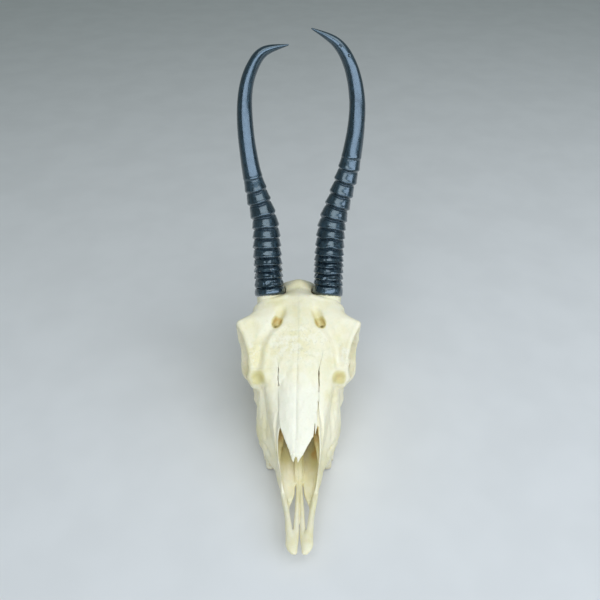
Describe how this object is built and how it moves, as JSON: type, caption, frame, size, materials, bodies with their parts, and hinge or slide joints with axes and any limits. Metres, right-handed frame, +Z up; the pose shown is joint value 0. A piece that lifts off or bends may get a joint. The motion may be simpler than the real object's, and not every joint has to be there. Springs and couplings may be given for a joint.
{
  "type": "springbok skull",
  "caption": "Cleaned antelope skull without its lower jaw, with ringed lyre-shaped horns, lying on its cheek teeth and the processes behind its ears.",
  "frame": {"origin": "on the floor, on the skull's mid-plane, half way between the muzzle tip and the rearmost point of the horns", "axes": "+Z up, -Y towards the muzzle tip, +X towards the animal's left; the chewing surfaces lie in the plane Z = 0"},
  "size_m": [0.0985, 0.2649, 0.277],
  "materials": {
    "bleached_bone": "dry cleaned bone with a faint sheen",
    "face_bone": "dry cleaned bone, paler and smoother",
    "horn_sheath": "oiled black horn"
  },
  "bodies": {
    "root": {"braincase": "bleached_bone", "frontal_left": "bleached_bone", "frontal_right": "bleached_bone", "zygomatic_left": "bleached_bone", "zygomatic_right": "bleached_bone", "maxilla_left": "bleached_bone", "maxilla_right": "bleached_bone", "nasal_left": "face_bone", "nasal_right": "face_bone", "premaxilla_left": "face_bone", "premaxilla_right": "face_bone", "horn_left": "horn_sheath", "horn_right": "horn_sheath"}
  },
  "joints": []
}
